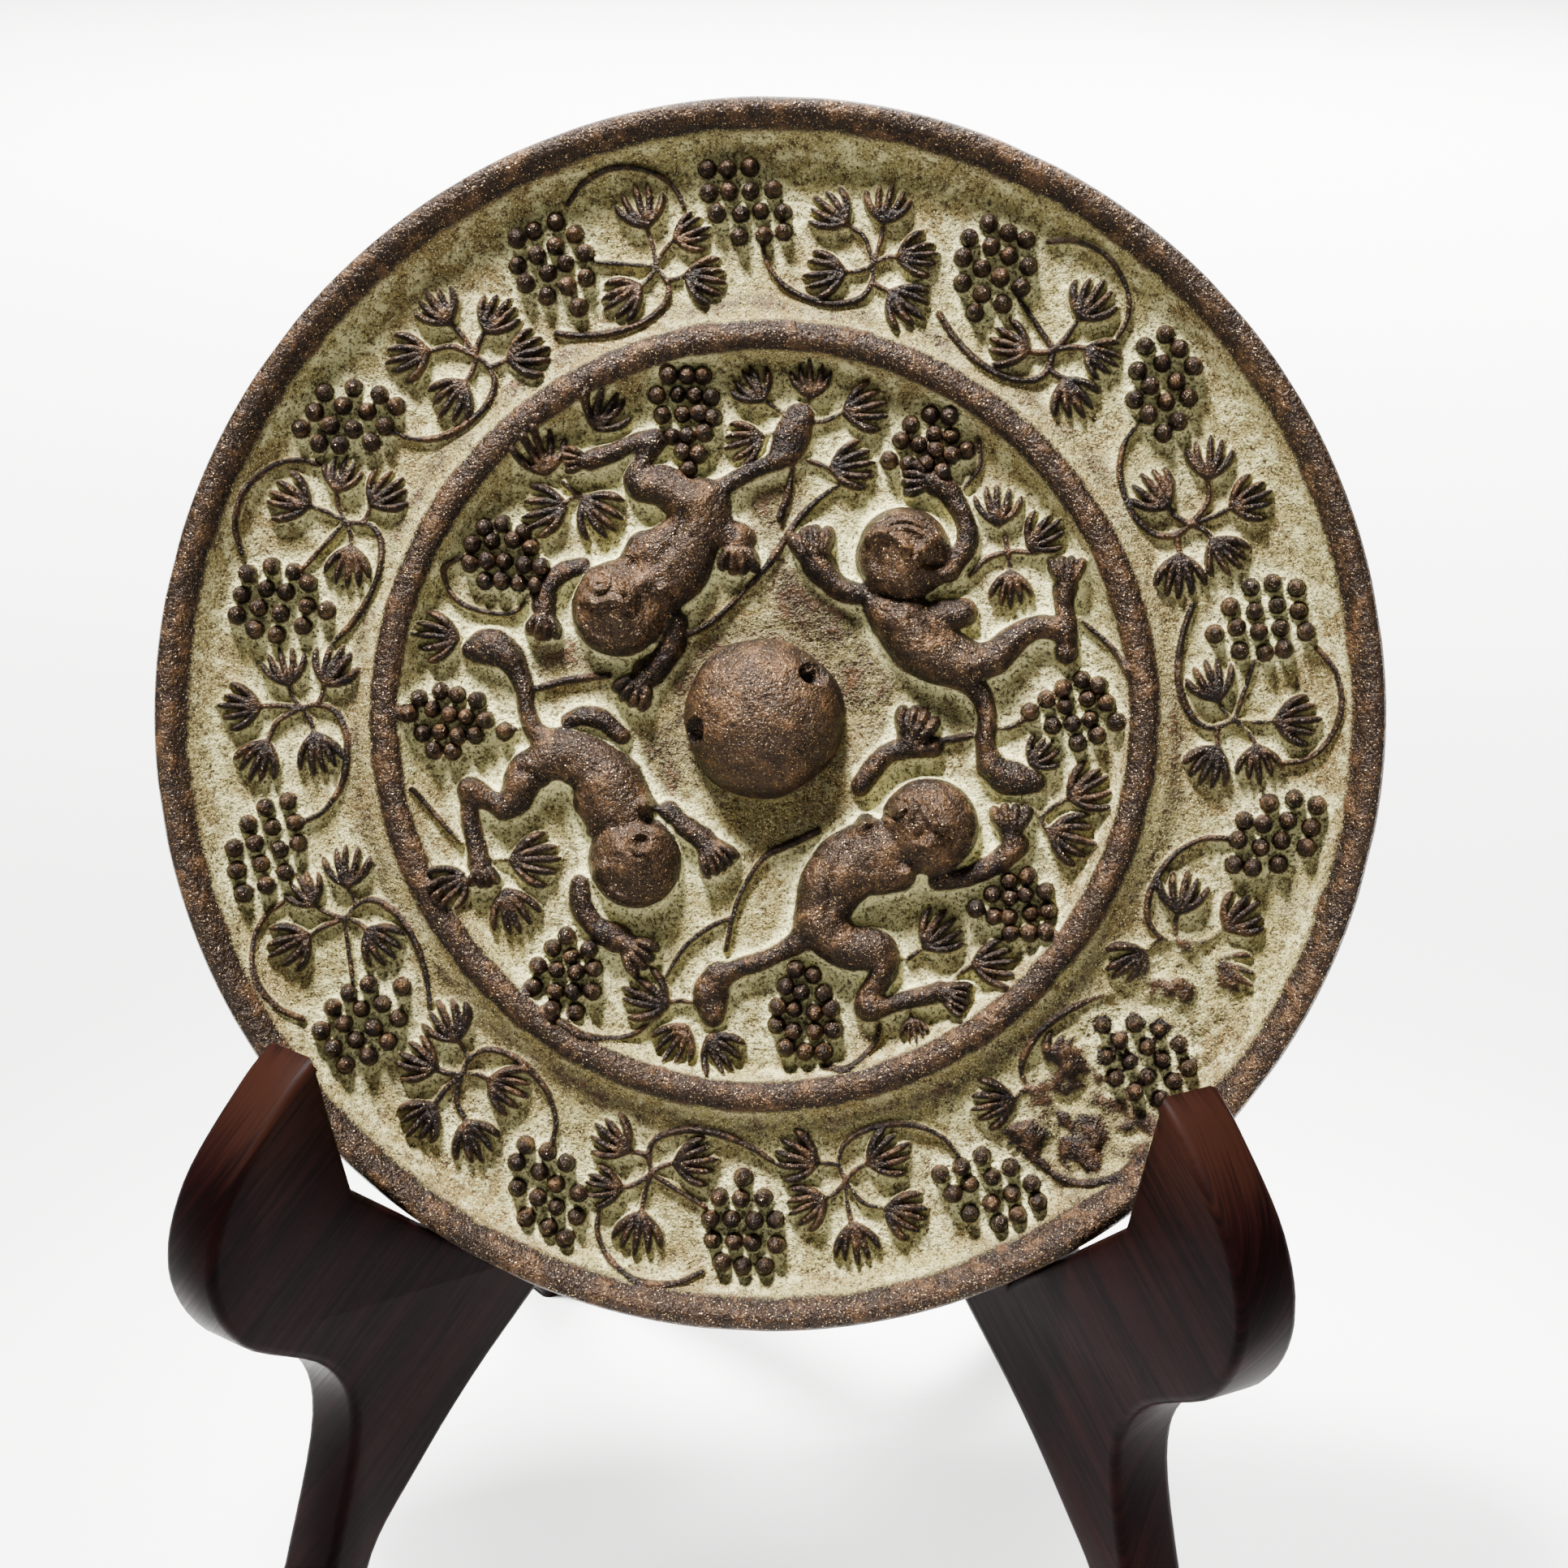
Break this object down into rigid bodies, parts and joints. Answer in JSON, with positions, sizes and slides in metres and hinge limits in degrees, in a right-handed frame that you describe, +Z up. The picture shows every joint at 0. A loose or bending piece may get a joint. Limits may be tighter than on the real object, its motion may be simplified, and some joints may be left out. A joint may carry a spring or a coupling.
{
  "type": "bronze mirror on a stand",
  "caption": "Round cast bronze mirror with beasts and grapevines in relief around a pierced knob, inside a raised ring and rim, leaning in a cradle of crossed wooden boards.",
  "frame": {"origin": "on the ground, under the middle of the whole in X and Y", "axes": "+Z up, the carved side faces -Y and leans back by 18 degrees, +X to the right seen from the front"},
  "size_m": [0.12, 0.1162, 0.1541],
  "materials": {
    "bronze": "dark brown cast bronze, worn and slightly shiny on the raised parts, matt pale green patina in the hollows",
    "stand_wood": "dark reddish brown hardwood under a satin lacquer"
  },
  "bodies": {
    "root": {"mirror": "bronze", "stand_board_left": "stand_wood", "stand_board_right": "stand_wood"}
  },
  "joints": []
}
